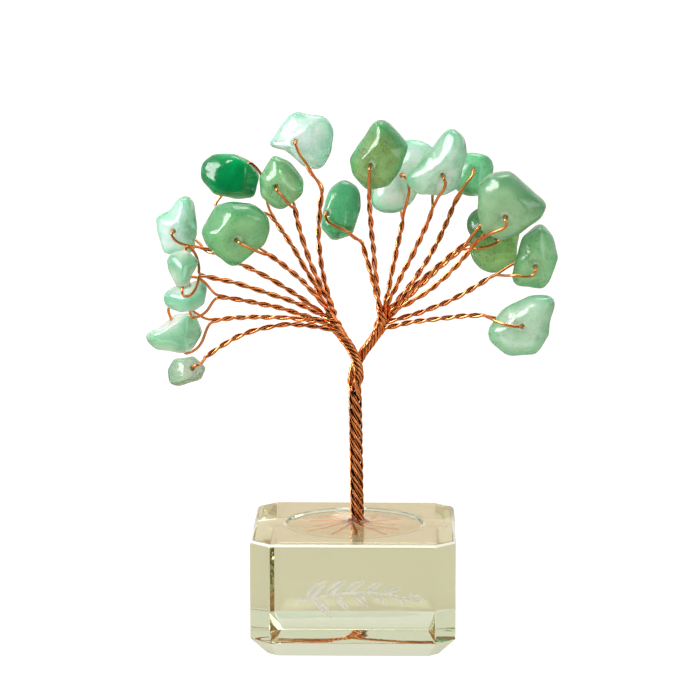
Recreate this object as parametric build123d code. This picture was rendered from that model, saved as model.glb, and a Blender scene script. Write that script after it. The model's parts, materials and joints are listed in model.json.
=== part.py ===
from build123d import *
import math
import os

# A gemstone tree: drilled tumbled stones on twisted copper wire, rooted in clear glue in a glass block.
# Millimetres, +Z up, origin in the middle of the block's foot, the front of the tree toward -Y.

# Glass block and the round dish in its top
BLOCK_W = 35.0
BLOCK_H = 20.0
CORNER_CUT = 3.4
FOOT_BEVEL = 2.9
TOP_BEVEL = 0.5
DISH_D = 24.4
DISH_DEPTH = 2.5

# Clear glue that fills the dish and climbs a little up the trunk
GLUE_DROP = 0.3
GLUE_FIT = 0.02
CLIMB = 1.1

# Copper wire: its thickness, and the gap between wires that lie side by side
WIRE = 0.4
LAY_GAP = 0.02

# Trunk: two layers of wires laid round one line, foot to fork
TRUNK_FOOT = (0.5, 2.5)
TRUNK_TOP = (0.1, 0.0)
TRUNK_RISE = 23.4
TRUNK_PITCH = 11.0
TRUNK_OUTER = 12
TRUNK_INNER = 6
FOOT_LIFT = 1.5
ROOT_REACH = 9.6
ROOT_STEP = 1.1
ROOT_CLEAR = 0.45
ROOT_KNEE = 1.1
ROOT_TURN = 35

# Limbs: a ring of wires round one wire. The two ropes cross at the fork, the left one in front.
# Points from the fork: right, back and up.
LIMB_PITCH = 10.0
LIMB_RING = 8
LEFT_LIMB = [(0.8, -0.5, -0.4), (1.1, -0.9, 3.1), (-0.1, -0.9, 6.6), (-2.8, -0.6, 10.5), (-5.3, -0.5, 15.2)]
RIGHT_LIMB = [(-0.6, 0.5, -0.4), (-0.7, 0.9, 2.9), (1.3, 0.9, 6.3), (4.1, 0.7, 10.5), (5.4, 0.5, 15.6)]

# Branches: one wire doubled, its two halves twisted together
PAIR_PITCH = 5.0
PAIR_GAP = 0.06
PAIR_SPACE = 0.95

# Stones: the drilled hole, how tightly the wire bends out of it, and its clearance over the stone
HOLE = 1.0
BEND = 0.55
OVER = 0.5
CAP = 66

# Each branch: place across the limb, row in depth, distance below the limb's end,
# bearing and forward lean in degrees, length and sideways bow in mm.
# Each stone: bearing and lean of the hole seen from the branch's end, neck of open wire in mm,
# yaw and pitch of the hole's line, thickness, and eight radii round the hole, 45 degrees apart.
LEFT = [
    ((-1.0, 1, 1.5, 152, -5, 23.5, -1.0), (147, -12, 1.0, 6, -4, 6.0, (3.5, 4.5, 5.5, 4.0, 3.5, 4.0, 4.0, 4.5))),
    ((-1.0, -1, 1.5, 160, 13, 22.5, -0.7), (159, 37, 1.0, 180, 70, 6.6, (3.0, 3.5, 4.0, 3.5, 2.5, 2.5, 2.5, 2.5))),
    ((-0.5, -1, 3.6, 166, 0, 19.5, -0.6), (181, 0, 2.3, 0, 75, 5.6, (3.0, 3.0, 3.2, 3.5, 4.5, 4.0, 3.2, 3.0))),
    ((-0.5, 1, 3.6, 181, -14, 21.0, -0.9), (198, -15, 3.0, 0, 80, 6.8, (4.5, 4.2, 3.8, 4.5, 5.0, 4.5, 3.8, 4.2))),
    ((-0.5, -1, 4.8, 191, 7, 22.5, -3.0), (222, 21, 1.0, -8, 6, 5.0, (2.5, 2.5, 2.5, 3.5, 4.0, 4.0, 2.5, 2.2))),
    ((0.0, 1, 1.0, 121, -9, 18.5, -0.4), (141, -7, 3.6, 90, 45, 7.6, (3.8, 4.2, 5.2, 4.4, 3.8, 4.5, 5.5, 4.5))),
    ((0.0, -1, 1.0, 133, 22, 15.5, -0.7), (150, 20, 1.0, -6, 5, 6.5, (6.5, 7.0, 6.0, 5.5, 5.0, 4.5, 5.0, 5.0))),
    ((1.0, -1, 1.0, 109, 8, 19.0, 0.8), (124, 13, 1.0, -5, -5, 6.0, (5.0, 4.0, 4.5, 3.5, 3.0, 4.0, 4.5, 4.5))),
    ((1.0, 1, 1.0, 95, -9, 19.5, 1.3), (118, -7, 3.5, 4, 8, 6.5, (6.5, 6.5, 5.0, 4.0, 4.5, 3.2, 4.0, 6.5))),
]
RIGHT = [
    ((-1.0, 1, 1.0, 108, -26, 11.5, 0.0), (141, -16, 2.2, 8, 4, 6.0, (6.0, 7.5, 5.0, 2.5, 1.8, 2.5, 5.0, 5.5))),
    ((-1.0, -1, 1.0, 96, 9, 19.0, 0.1), (86, 9, 2.0, -4, -6, 6.5, (5.8, 7.0, 7.0, 4.2, 4.0, 4.5, 5.0, 5.0))),
    ((0.0, 1, 1.0, 79, -14, 15.0, 0.0), (93, -12, 1.2, 5, 6, 6.0, (4.5, 7.5, 6.0, 4.0, 4.0, 7.0, 6.0, 4.0))),
    ((0.0, -1, 1.0, 65, 13, 17.0, -0.1), (76, 9, 4.0, 7, -5, 6.0, (4.0, 6.3, 6.5, 4.2, 5.2, 5.8, 4.7, 4.2))),
    ((0.8, 1.9, 1.5, 58, -14, 21.0, -1.1), (59, -17, 2.7, -6, 4, 5.5, (3.5, 4.0, 3.5, 4.0, 4.0, 4.0, 4.0, 4.0))),
    ((0.8, -1.9, 1.5, 40, 16, 18.5, -1.3), (47, 12, 3.8, 6, 5, 6.5, (6.5, 6.5, 7.0, 7.0, 5.0, 5.5, 4.5, 5.0))),
    ((0.5, 1, 3.8, 43, -13, 18.0, 0.4), (18, -17, 1.4, -8, -4, 5.5, (4.5, 5.0, 5.0, 4.5, 4.0, 5.0, 6.0, 5.5))),
    ((0.5, -1, 3.4, 23, 0, 19.0, -1.0), (20, 0, 3.0, 5, -6, 6.0, (4.0, 5.0, 6.0, 4.5, 3.5, 5.5, 4.5, 4.5))),
    ((0.5, -1, 4.6, 9, 10, 17.5, 0.5), (347, 10, 1.3, -5, 7, 6.0, (5.0, 6.6, 5.0, 4.5, 6.0, 6.0, 5.5, 5.0))),
    ((1.0, 0, 1.4, 42, 0, 17.3, 0.3), (51, -4, 1.3, -6, 4, 5.0, (2.8, 2.8, 3.0, 2.7, 2.5, 2.6, 2.7, 2.8))),
]

os.makedirs("parts", exist_ok=True)


def save(name, shape):
    export_step(shape, "parts/" + name + ".step")


def heading(bearing, lean):
    b, n = math.radians(bearing), math.radians(lean)
    return Vector(math.cos(b) * math.cos(n), -math.sin(n), math.sin(b) * math.cos(n))


# Radius of a ring of wires that lie side by side at a given pitch
def ring_radius(count, pitch):
    step = WIRE + LAY_GAP
    return step / (2 * math.sin(math.pi / count)) / math.sqrt(1 - (count * step / pitch) ** 2)


# A point on a wire laid left-handed round a line
def laid(axis, along, radius, phase, pitch):
    centre = axis.position_at(along, PositionMode.LENGTH)
    ahead = axis.tangent_at(along, PositionMode.LENGTH)
    side = (Vector(0, 1, 0) - ahead * ahead.Y).normalized()
    turn = phase - 2 * math.pi * along / pitch
    return centre + side * (radius * math.cos(turn)) + ahead.cross(side) * (radius * math.sin(turn))


# Points and directions along such a wire, a quarter turn or less apart
def strand(axis, radius, phase, pitch):
    length = axis.length
    count = max(2, math.ceil(length / pitch * 4))
    nodes = []
    for k in range(count + 1):
        at = min(max(length * k / count, 0.01), length - 0.01)
        before = laid(axis, at - 0.01, radius, phase, pitch)
        after = laid(axis, at + 0.01, radius, phase, pitch)
        nodes.append((laid(axis, at, radius, phase, pitch), (after - before).normalized()))
    return nodes


def backward(nodes):
    return [(p, t * -1) for p, t in reversed(nodes)]


def arc_or_line(p, t, q):
    if (q - p).cross(t).length < 1e-5:
        return Edge.make_line(p, q)
    return Edge.make_tangent_arc(p, t, q)


# A round wire through points with given directions, each step two tangent arcs
def tube(nodes):
    edges = []
    for (p, t), (q, u) in zip(nodes, nodes[1:]):
        gap, both, open_by = q - p, t + u, 2 - 2 * t.dot(u)
        reach = gap.dot(both)
        if open_by < 1e-9:
            d = gap.dot(gap) / (2 * reach)
        else:
            d = (math.sqrt(reach ** 2 + open_by * gap.dot(gap)) - reach) / open_by
        first, second = p + t * d, q - u * d
        middle = (first + second) * 0.5
        edges.append(arc_or_line(p, t, middle))
        edges.append(arc_or_line(middle, (second - first).normalized(), q))
    section = Plane(origin=nodes[0][0], z_dir=nodes[0][1]) * Circle(WIRE / 2)
    return sweep(section, path=Wire(edges))


# Glass block: square prism with cut corners, a bevelled foot and a round dish
dish_r = ((DISH_D / 2) ** 2 + DISH_DEPTH ** 2) / (2 * DISH_DEPTH)
dish_centre = BLOCK_H - DISH_DEPTH + dish_r
block = Pos(0, 0, BLOCK_H / 2) * Box(BLOCK_W, BLOCK_W, BLOCK_H)
block = chamfer(block.edges().filter_by(Axis.Z), CORNER_CUT)
block = chamfer(block.edges().group_by(Axis.Z)[0], FOOT_BEVEL)
block = chamfer(block.edges().group_by(Axis.Z)[-1], TOP_BEVEL)
save("glass_base", block - Pos(0, 0, dish_centre) * Sphere(dish_r))

# Clear glue: fills the dish nearly to the rim and climbs the trunk in a hollow cone
trunk_r = ring_radius(TRUNK_OUTER, TRUNK_PITCH) + WIRE / 2
glue_top = BLOCK_H - GLUE_DROP
glue = Pos(0, 0, dish_centre) * Sphere(dish_r - GLUE_FIT)
glue &= Pos(0, 0, glue_top - BLOCK_H / 2) * Box(BLOCK_W, BLOCK_W, BLOCK_H)
cone = Pos(0, 0, CLIMB / 2) * Cylinder(trunk_r + CLIMB, CLIMB)
cone -= Pos(0, 0, CLIMB) * Torus(trunk_r + CLIMB, CLIMB - 0.02)
save("glue_pool", glue + Pos(*TRUNK_FOOT, glue_top) * cone)

# Trunk: two layers of wires. Roots: each outer wire goes on into the glue and splays outward.
foot = Vector(*TRUNK_FOOT, BLOCK_H - DISH_DEPTH + FOOT_LIFT)
fork = Vector(*TRUNK_TOP, BLOCK_H + TRUNK_RISE)
axis = Edge.make_line(foot, fork)
wires, roots = [], []
for k in range(TRUNK_OUTER):
    nodes = strand(axis, ring_radius(TRUNK_OUTER, TRUNK_PITCH), 2 * math.pi * k / TRUNK_OUTER, TRUNK_PITCH)
    wires.append(tube(nodes))
    out = (nodes[0][0] - foot).normalized()
    out = Vector(out.X, out.Y, 0).rotate(Axis.Z, ROOT_TURN)
    tip = out * (ROOT_REACH - ROOT_STEP * (k % 3))
    floor = dish_centre - math.sqrt(dish_r ** 2 - tip.X ** 2 - tip.Y ** 2)
    tip = Vector(tip.X, tip.Y, floor + ROOT_CLEAR)
    knee = nodes[0][0] + out * ROOT_KNEE - Vector(0, 0, ROOT_KNEE * 0.7)
    inward = (knee - tip).normalized()
    roots.append(tube([(tip, inward), (knee, inward), nodes[0]]))
for k in range(TRUNK_INNER):
    wires.append(tube(strand(axis, ring_radius(TRUNK_INNER, TRUNK_PITCH), 2 * math.pi * k / TRUNK_INNER, TRUNK_PITCH)))
save("trunk", Compound(children=[w.solid() for w in wires]))
save("roots", Compound(children=[w.solid() for w in roots]))

for side, path, branches in (("left", LEFT_LIMB, LEFT), ("right", RIGHT_LIMB, RIGHT)):
    # Limb: a rope of wires from the fork to where the branches leave
    axis = Spline(*[fork + Vector(*point) for point in path]).edge()
    rope = [tube(strand(axis, 0.0, 0.0, LIMB_PITCH))]
    for k in range(LIMB_RING):
        rope.append(tube(strand(axis, ring_radius(LIMB_RING, LIMB_PITCH), 2 * math.pi * k / LIMB_RING, LIMB_PITCH)))
    save("limb_" + side, Compound(children=[w.solid() for w in rope]))

    for number, (branch, stone) in enumerate(branches, 1):
        col, row, below, bearing, lean, length, bow = branch
        turn, tilt, neck, yaw, pitch, thick, radii = stone

        # Branch line from the limb to the point where the twist opens
        ahead = axis.tangent_at(axis.length - below, PositionMode.LENGTH)
        start = axis.position_at(axis.length - below, PositionMode.LENGTH)
        start += Vector(ahead.Z, 0, -ahead.X).normalized() * (PAIR_SPACE * col)
        start += Vector(0, row * PAIR_SPACE / 2, 0)
        end = start + heading(bearing, lean) * length
        line = Bezier(start, (start + end) * 0.5 + heading(bearing + 90, 0) * (2 * bow), end).edge()

        # Frame of the stone: its hole, and the way from the hole to the twist
        away = heading(turn, tilt)
        yaw_r, pitch_r = math.radians(yaw), math.radians(pitch)
        bore = Vector(math.sin(yaw_r) * math.cos(pitch_r), -math.cos(yaw_r) * math.cos(pitch_r), math.sin(pitch_r))
        bore = (bore - away * bore.dot(away)).normalized()
        level = Vector(math.cos(yaw_r), math.sin(yaw_r), 0)
        level = (level - bore * level.dot(bore)).normalized()
        toward = away * -1
        angle = math.degrees(math.atan2(toward.dot(bore.cross(level)), toward.dot(level)))
        edge = 0.0
        for swing in (-22.5, 0, 22.5):
            part = (angle + swing) % 360 / 45
            low = int(part)
            edge = max(edge, radii[low % 8] + (radii[(low + 1) % 8] - radii[low % 8]) * (part - low))
        hole = end + away * (edge + neck)
        plane = Plane(origin=hole, x_dir=level, z_dir=bore)

        # Stone: rounded rings on the outline, smaller toward both faces, drilled through
        rings = []
        for step in range(-3, 4):
            rise = math.radians(CAP / 3 * step)
            height = thick / 2 * math.sin(rise) / math.sin(math.radians(CAP))
            points = []
            for k, r in enumerate(radii):
                at = math.radians(45 * k)
                points.append((r * math.cos(rise) * math.cos(at), r * math.cos(rise) * math.sin(at)))
            rings.append(plane.offset(height) * make_face(Spline(*points, periodic=True)))
        pebble = loft(rings) - plane * Cylinder(HOLE / 2, 3 * thick)
        save("stone_" + side + "_" + str(number), pebble)

        # Wire: up one half of the twist, over the stone, through the hole and back down the other half
        pair_r = (WIRE + PAIR_GAP) / 2
        last = line.tangent_at(1)
        side_dir = (Vector(0, 1, 0) - last * last.Y).normalized()
        phase = math.atan2(bore.dot(last.cross(side_dir)), bore.dot(side_dir))
        phase += 2 * math.pi * line.length / PAIR_PITCH
        up = strand(line, pair_r, phase, PAIR_PITCH)
        down = backward(strand(line, pair_r, phase + math.pi, PAIR_PITCH))
        wide = edge + OVER
        tall = thick / 2 / math.sin(math.radians(CAP)) + OVER
        touch = wide ** 2 / (edge + neck)
        rest = tall * math.sqrt(1 - (touch / wide) ** 2)
        slope = (toward * (edge + neck - touch) - bore * rest).normalized()
        slope_back = (toward * (edge + neck - touch) + bore * rest).normalized()
        over = [
            (hole + toward * touch + bore * rest, slope * -1),
            (hole + toward * BEND + bore * (thick / 2 + BEND), away),
            (hole + bore * (thick / 2), bore * -1),
            (hole - bore * (thick / 2), bore * -1),
            (hole + toward * BEND - bore * (thick / 2 + BEND), toward),
            (hole + toward * touch - bore * rest, slope_back),
        ]
        save("wire_" + side + "_" + str(number), tube(up + over + down))
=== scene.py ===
import json
import math
import random
import bmesh
import bpy
from mathutils import Matrix, Vector, noise


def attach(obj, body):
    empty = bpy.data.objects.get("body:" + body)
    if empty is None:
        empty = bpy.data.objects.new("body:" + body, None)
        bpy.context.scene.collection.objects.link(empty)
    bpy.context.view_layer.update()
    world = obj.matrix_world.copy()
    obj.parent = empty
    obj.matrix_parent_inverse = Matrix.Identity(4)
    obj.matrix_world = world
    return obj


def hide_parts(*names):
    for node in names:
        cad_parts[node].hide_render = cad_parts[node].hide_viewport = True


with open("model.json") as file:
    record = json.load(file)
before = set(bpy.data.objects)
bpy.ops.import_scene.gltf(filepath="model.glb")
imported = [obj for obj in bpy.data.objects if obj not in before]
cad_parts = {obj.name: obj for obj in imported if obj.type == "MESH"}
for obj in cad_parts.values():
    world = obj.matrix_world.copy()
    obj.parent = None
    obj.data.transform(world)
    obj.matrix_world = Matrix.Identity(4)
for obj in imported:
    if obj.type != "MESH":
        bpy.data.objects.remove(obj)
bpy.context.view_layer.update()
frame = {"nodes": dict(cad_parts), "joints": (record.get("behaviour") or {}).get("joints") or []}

# Glass block: one piece of clear optical glass with a faint khaki tint, pressed, ground and polished.
# It is a square prism with cut corners, a bevelled foot and a shallow round dish sunk in its top.
# Every edge has a hair-fine ground arris that glints. The top bevel is painted white, a painted highlight.
MM = 0.001
BLOCK_W = 35.0 * MM
BLOCK_H = 20.0 * MM
CORNER_CUT = 3.4 * MM
FOOT_BEVEL = 2.9 * MM
TOP_BEVEL = 0.5 * MM
ARRIS = 0.12 * MM
RIM_BEVEL = 0.2 * MM
DISH_R = 12.2 * MM
DISH_DEPTH = 2.5 * MM
DISH_BALL = (DISH_R ** 2 + DISH_DEPTH ** 2) / (2 * DISH_DEPTH)
DISH_CENTRE = BLOCK_H - DISH_DEPTH + DISH_BALL


def linear(hex_colour):
    parts = [int(hex_colour[k:k + 2], 16) / 255 for k in (1, 3, 5)]
    return tuple(c / 12.92 if c <= 0.04045 else ((c + 0.055) / 1.055) ** 2.4 for c in parts) + (1.0,)


def add(tree, kind, inputs, **settings):
    node = tree.nodes.new(kind)
    for name, value in settings.items():
        setattr(node, name, value)
    for name, value in inputs.items():
        if isinstance(value, bpy.types.NodeSocket):
            tree.links.new(value, node.inputs[name])
        else:
            node.inputs[name].default_value = value
    return node


def deselect():
    bpy.ops.object.select_all(action="DESELECT")


def only(piece):
    deselect()
    piece.select_set(True)
    bpy.context.view_layer.objects.active = piece


def apply_modifier(piece, kind, **settings):
    only(piece)
    modifier = piece.modifiers.new(kind.title(), kind)
    for name, value in settings.items():
        setattr(modifier, name, value)
    bpy.ops.object.modifier_apply(modifier=modifier.name)


def bevel_edges(piece, chosen, offset, segments):
    only(piece)
    bpy.ops.object.mode_set(mode="EDIT")
    bpy.ops.mesh.select_mode(type="EDGE")
    bpy.ops.mesh.select_all(action="DESELECT")
    cage = bmesh.from_edit_mesh(piece.data)
    for edge in cage.edges:
        edge.select_set(chosen(edge.verts[0].co, edge.verts[1].co))
    bmesh.update_edit_mesh(piece.data)
    bpy.ops.mesh.bevel(offset=offset, segments=segments, affect="EDGES")
    bpy.ops.object.mode_set(mode="OBJECT")


def smooth(piece, degrees):
    only(piece)
    bpy.ops.object.shade_smooth_by_angle(angle=math.radians(degrees))


def settle(piece, name, material, body, slot, *nodes):
    piece.name = name
    piece.data.name = name
    piece.data.materials.clear()
    piece.data.materials.append(material)
    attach(piece, body)
    if nodes:
        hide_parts(*nodes)


deselect()
bpy.ops.mesh.primitive_cube_add(size=1, location=(0, 0, BLOCK_H / 2))
block = bpy.context.object
block.scale = (BLOCK_W, BLOCK_W, BLOCK_H)
bpy.ops.object.transform_apply(location=True, rotation=True, scale=True)
near = 0.01 * MM
bevel_edges(block, lambda a, b: abs(a.z - b.z) > near, CORNER_CUT, 1)
bevel_edges(block, lambda a, b: a.z < near and b.z < near, FOOT_BEVEL, 1)
bevel_edges(block, lambda a, b: min(a.z, b.z) > BLOCK_H - near, TOP_BEVEL, 1)
apply_modifier(block, "BEVEL", width=ARRIS, segments=2, limit_method="ANGLE", angle_limit=math.radians(30))

deselect()
bpy.ops.mesh.primitive_uv_sphere_add(segments=144, ring_count=288, radius=DISH_BALL,
                                     location=(0, 0, DISH_CENTRE))
ball = bpy.context.object
apply_modifier(block, "BOOLEAN", object=ball, operation="DIFFERENCE", solver="EXACT")
bpy.data.objects.remove(ball)


def on_dish_rim(a, b):
    return all(abs(p.z - BLOCK_H) < near and abs(p.xy.length - DISH_R) < 0.1 * MM for p in (a, b))


bevel_edges(block, on_dish_rim, RIM_BEVEL, 1)
smooth(block, 10)

# Only the top bevel leans upward by about 45 degrees, and only it gets the painted highlight
GLINT_BEVEL_LEAN = (0.55, 0.8)
painted_glint_faces = block.data.attributes.new("painted_glint_faces", "FLOAT", "FACE")
for value, face in zip(painted_glint_faces.data, block.data.polygons):
    value.value = 1.0 if GLINT_BEVEL_LEAN[0] < face.normal.z < GLINT_BEVEL_LEAN[1] else 0.0

# Optical glass: clear and colourless through a finger's width, khaki through the whole block.
# Its surface is fire-polished, with the faintest smear of handling. The top bevel is a painted white
# highlight.
glass = bpy.data.materials.new("optical_glass_polished")
glass.use_nodes = True
tree = glass.node_tree
where = add(tree, "ShaderNodeTexCoord", {})
smear = add(tree, "ShaderNodeTexNoise", {"Vector": where.outputs["Object"], "Scale": 1 / (9 * MM),
                                         "Detail": 4.0})
rough = add(tree, "ShaderNodeMapRange", {"Value": smear.outputs[0], 1: 0.45, 2: 0.8, 3: 0.0, 4: 0.03})
tint = add(tree, "ShaderNodeMix", {0: smear.outputs[0], 6: linear("#F7F6EC"), 7: linear("#FBFBF5")},
           data_type="RGBA")
shader = tree.nodes["Principled BSDF"]
tree.links.new(tint.outputs[2], shader.inputs["Base Color"])
# Painted highlight: on the top bevel the glass is 60 percent opaque near-white
edge = add(tree, "ShaderNodeAttribute", {}, attribute_name="painted_glint_faces")
painted_glint_white = add(tree, "ShaderNodeMapRange", {"Value": edge.outputs["Fac"], 3: 1.0, 4: 0.4})
tree.links.new(rough.outputs[0], shader.inputs["Roughness"])
tree.links.new(painted_glint_white.outputs[0], shader.inputs["Transmission Weight"])
shader.inputs["IOR"].default_value = 1.52
body = add(tree, "ShaderNodeVolumeAbsorption", {"Color": linear("#AAB838"), "Density": 12.0})
tree.links.new(body.outputs[0], tree.nodes["Material Output"].inputs["Volume"])
settle(block, "glass_block", glass, "tree", "glass", "glass_base")

# Leaf sprig: a generic sprig sandblasted into the front of the block, white where the glass is frosted.
# It lies a hair's breadth inside the polished face, one curved stem with leaves in two halves.
SPRIG_Z = 11.0 * MM
SPRIG_X = -0.2 * MM
SPRIG_HALF = 11.0 * MM
SPRIG_RISE = 1.3 * MM
ETCH_Y = -BLOCK_W / 2 + 0.03 * MM
ETCH_DEEP = 0.04 * MM
LAYER = 0.006 * MM
LEAF_STEPS = 16

# Sandblasted glass: matt white, with the fine grit of the blast in it.
frost = bpy.data.materials.new("sandblasted_glass")
frost.use_nodes = True
tree = frost.node_tree
where = add(tree, "ShaderNodeTexCoord", {})
grit = add(tree, "ShaderNodeTexNoise", {"Vector": where.outputs["Object"], "Scale": 1 / (0.25 * MM),
                                        "Detail": 3.0})
white = add(tree, "ShaderNodeMix", {0: grit.outputs[0], 6: linear("#E9E9DF"), 7: linear("#FFFFFF")},
            data_type="RGBA")
pits = add(tree, "ShaderNodeBump", {"Height": grit.outputs[0], "Strength": 0.3, "Distance": 0.02 * MM})
shader = tree.nodes["Principled BSDF"]
tree.links.new(white.outputs[2], shader.inputs["Base Color"])
tree.links.new(pits.outputs[0], shader.inputs["Normal"])
shader.inputs["Roughness"].default_value = 0.8


def stem_point(t):
    x = SPRIG_X + SPRIG_HALF * (2 * t - 1) * 0.86
    return Vector((x, ETCH_Y, SPRIG_Z - 0.5 * MM + SPRIG_RISE * math.sin(math.pi * (t - 0.1))))


def strip(rows):
    deselect()
    bpy.ops.mesh.primitive_grid_add(x_subdivisions=len(rows) - 1, y_subdivisions=1, size=1)
    plate = bpy.context.object
    columns = sorted({round(v.co.x, 5) for v in plate.data.vertices})
    for vertex in plate.data.vertices:
        low, high = rows[columns.index(round(vertex.co.x, 5))]
        vertex.co = low if vertex.co.y < 0 else high
    apply_modifier(plate, "SOLIDIFY", thickness=ETCH_DEEP, offset=0)
    return plate


def leaf_halves(root, bearing, length, width):
    ahead = Vector((math.cos(math.radians(bearing)), 0, math.sin(math.radians(bearing))))
    across = Vector((-ahead.z, 0, ahead.x))
    halves = []
    for side in (-1, 1):
        rows = []
        for k in range(LEAF_STEPS + 1):
            t = k / LEAF_STEPS
            full = width / 2 * math.sin(math.pi * t ** 0.8) ** 0.9 * (1 - 0.15 * t)
            spine = root + ahead * (length * t) + across * (0.06 * length * math.sin(math.pi * t))
            inner = min(0.14 * MM, full * 0.5) * min(1.0, 4 * t)
            outer = max(full, inner + 0.01 * MM)
            edges = [spine + across * (side * inner), spine + across * (side * outer)]
            rows.append(edges if side > 0 else edges[::-1])
        halves.append(strip(rows))
    return halves


plates = []
rows = []
for k in range(33):
    t = k / 32
    ahead = (stem_point(t + 0.01) - stem_point(t - 0.01)).normalized()
    half = Vector((-ahead.z, 0, ahead.x)) * ((0.26 - 0.12 * t) * MM)
    rows.append((stem_point(t) - half, stem_point(t) + half))
plates.append(strip(rows))
for k in range(5):
    t = 0.1 + 0.175 * k
    size = (5.0 - 0.45 * k) * MM
    plates += leaf_halves(stem_point(t), 42 - 5 * k, size, size * 0.36)
    plates += leaf_halves(stem_point(t + 0.06), -50 + 3 * k, size * 0.94, size * 0.34)
plates += leaf_halves(stem_point(0.985), -10, 3.6 * MM, 1.4 * MM)

# Each plate lies a shade deeper than the one before, so no two faces coincide
deselect()
for number, plate in enumerate(plates):
    plate.location.y = LAYER * number
    plate.select_set(True)
bpy.context.view_layer.objects.active = plates[0]
bpy.ops.object.join()
sprig = bpy.context.object
settle(sprig, "frosted_sprig", frost, "tree", "glass")

# Clear glue: poured into the dish around the wire roots and left to set. It creeps up the rim and the trunk.
# It wets the glass, so its underside reaches a touch into the dish and leaves no film of air.
# The foot of the trunk is given in millimetres, like all the wires below.
GLUE_TOP = BLOCK_H - 0.3 * MM
GLUE_RIM = 11.6 * MM
CREEP = 0.05 * MM
TRUNK_FOOT = Vector((0.5, 2.5, 19.0))
CLIMB = 1.1 * MM
TRUNK_R = 1.02 * MM


def dish_floor(r):
    return DISH_CENTRE - math.sqrt(DISH_BALL ** 2 - r ** 2)


profile = [(GLUE_RIM * k / 14, dish_floor(GLUE_RIM * k / 14) - CREEP) for k in range(1, 15)]
profile += [(GLUE_RIM - 0.12 * MM, GLUE_TOP + 0.05 * MM), (GLUE_RIM - 0.35 * MM, GLUE_TOP + 0.012 * MM)]
profile += [(GLUE_RIM * k / 44, GLUE_TOP) for k in range(42, 0, -1)]
deselect()
bpy.ops.mesh.primitive_plane_add(size=1)
pool = bpy.context.object
bpy.ops.object.mode_set(mode="EDIT")
bpy.ops.mesh.delete(type="VERT")
cage = bmesh.from_edit_mesh(pool.data)
line = [cage.verts.new((0, 0, dish_floor(0) - CREEP))]
line += [cage.verts.new((r, 0, z)) for r, z in profile]
line.append(cage.verts.new((0, 0, GLUE_TOP)))
for a, b in zip(line, line[1:]):
    cage.edges.new((a, b))
bmesh.update_edit_mesh(pool.data)
bpy.ops.mesh.select_all(action="SELECT")
bpy.ops.mesh.spin(steps=120, angle=2 * math.pi, center=(0, 0, 0), axis=(0, 0, 1))
bpy.ops.mesh.select_all(action="SELECT")
bpy.ops.mesh.remove_doubles(threshold=0.002 * MM)
bpy.ops.mesh.normals_make_consistent(inside=False)
bpy.ops.object.mode_set(mode="OBJECT")
for vertex in pool.data.vertices:
    spot = vertex.co.copy()
    if spot.z > GLUE_TOP - 0.02 * MM:
        away = (spot.xy - TRUNK_FOOT.xy * MM).length - TRUNK_R
        ripple = noise.noise(spot / (3.5 * MM)) * 0.05 * MM
        inner = max(0.0, 1 - (spot.xy.length / GLUE_RIM) ** 4)
        vertex.co.z += CLIMB * math.exp(-max(away, 0.0) / (0.55 * MM)) + ripple * inner
smooth(pool, 60)

# Set craft glue: clear and faintly warm, with a few pinhead bubbles caught in it.
glue = bpy.data.materials.new("clear_set_glue")
glue.use_nodes = True
tree = glue.node_tree
where = add(tree, "ShaderNodeTexCoord", {})
cells = add(tree, "ShaderNodeTexVoronoi", {"Vector": where.outputs["Object"], "Scale": 1 / (1.6 * MM)})
bubble = add(tree, "ShaderNodeMapRange", {"Value": cells.outputs["Distance"],
                                          1: 0.1, 2: 0.14, 3: 0.35, 4: 0.03})
warm = add(tree, "ShaderNodeTexNoise", {"Vector": where.outputs["Object"], "Scale": 1 / (4 * MM),
                                        "Detail": 3.0})
tint = add(tree, "ShaderNodeMix", {0: warm.outputs[0], 6: linear("#F6EADC"), 7: linear("#FBF6EE")},
           data_type="RGBA")
dimple = add(tree, "ShaderNodeBump", {"Height": warm.outputs[0], "Strength": 0.25, "Distance": 0.1 * MM})
shader = tree.nodes["Principled BSDF"]
tree.links.new(tint.outputs[2], shader.inputs["Base Color"])
tree.links.new(bubble.outputs[0], shader.inputs["Roughness"])
tree.links.new(dimple.outputs[0], shader.inputs["Normal"])
shader.inputs["Transmission Weight"].default_value = 1.0
shader.inputs["IOR"].default_value = 1.49
settle(pool, "glue_pool_clear", glue, "tree", "glue", "glue_pool")

# Trunk and limbs: eighteen bare copper wires laid left-handed as one rope, parted into two at the fork.
# The left rope crosses in front. Hand winding leaves some wires proud and some sunk between their neighbours.
# All lengths of wire below are in millimetres.
WIRE = 0.4
LAY_GAP = 0.02
STEP = 0.25
FORK = Vector((0.1, 0.0, 43.4))
TRUNK_PITCH = 11.0
LIMB_PITCH = 7.5
OUTER = 12
INNER = 6
RING = 8
PROUD = (0.12, -0.22, 0.08, 0.12, -0.24, 0.08, -0.20, 0.12, -0.23, 0.11, 0.08, -0.22)
FLARE = 0.35
LIMBS = {
    "left": [(0.55, -0.6, -0.4), (0.75, -0.95, 3.0), (-0.2, -0.9, 6.6), (-2.8, -0.6, 10.5),
             (-5.3, -0.5, 15.2)],
    "right": [(-0.45, 0.6, -0.4), (-0.4, 0.95, 2.9), (1.3, 0.9, 6.3), (4.1, 0.7, 10.5), (5.4, 0.5, 15.6)],
}
BLEND_FROM = -1.4
BLEND_LONG = 5.0
LIMB_DIP = 0.4


def even(points, step):
    spaced = [points[0].copy()]
    owed = step
    for p, q in zip(points, points[1:]):
        gap = (q - p).length
        done = 0.0
        while gap - done >= owed:
            done += owed
            spaced.append(p.lerp(q, done / gap))
            owed = step
        owed -= gap - done
    return spaced


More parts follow.
